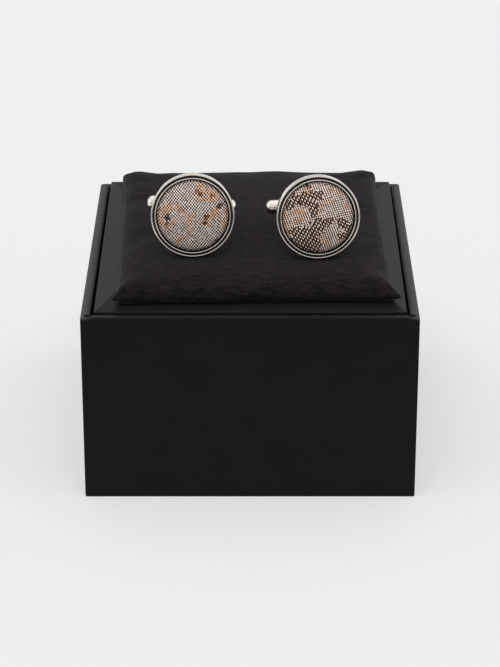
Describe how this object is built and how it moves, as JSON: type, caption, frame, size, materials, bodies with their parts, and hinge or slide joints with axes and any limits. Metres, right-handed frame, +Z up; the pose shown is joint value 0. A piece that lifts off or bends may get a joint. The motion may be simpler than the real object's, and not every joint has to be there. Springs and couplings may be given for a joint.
{
  "type": "pair of silk cufflinks in a presentation box",
  "caption": "Round bezels with domed silk faces and swivelling bullet toggles on forked posts, standing on a padded cushion in a lidless black box.",
  "frame": {"origin": "middle of the box's underside", "axes": "+Z up, -Y the front that the cufflinks face, +X to the right as seen from the front"},
  "size_m": [0.0714, 0.0794, 0.0656],
  "materials": {
    "box_paper": "matt black paper wrapped on board",
    "liner_paper": "satin black paper wrapped on board",
    "cushion_cloth": "fine black suede cloth over a soft pad",
    "plated_metal": "polished rhodium plate on brass",
    "silk": "woven silk jacquard in ivory, taupe, copper and dark brown"
  },
  "bodies": {
    "box": {"box_shell": "box_paper", "liner": "liner_paper", "cushion": "cushion_cloth", "left_bezel_post": "plated_metal", "left_silk_face": "silk", "right_bezel_post": "plated_metal", "right_silk_face": "silk"},
    "left_toggle_bar": {"left_toggle": "plated_metal"},
    "right_toggle_bar": {"right_toggle": "plated_metal"}
  },
  "joints": [
    {"name": "left_toggle_swivel", "type": "hinge", "parent": "box", "child": "left_toggle_bar", "pos_m": [-0.01293, -0.00123, 0.05302], "axis": [0.0532, 0.2265, 0.9726], "range_deg": [-90, 90]},
    {"name": "right_toggle_swivel", "type": "hinge", "parent": "box", "child": "right_toggle_bar", "pos_m": [0.01337, -0.00217, 0.05299], "axis": [-0.018, 0.2242, 0.9744], "range_deg": [-90, 90]}
  ]
}
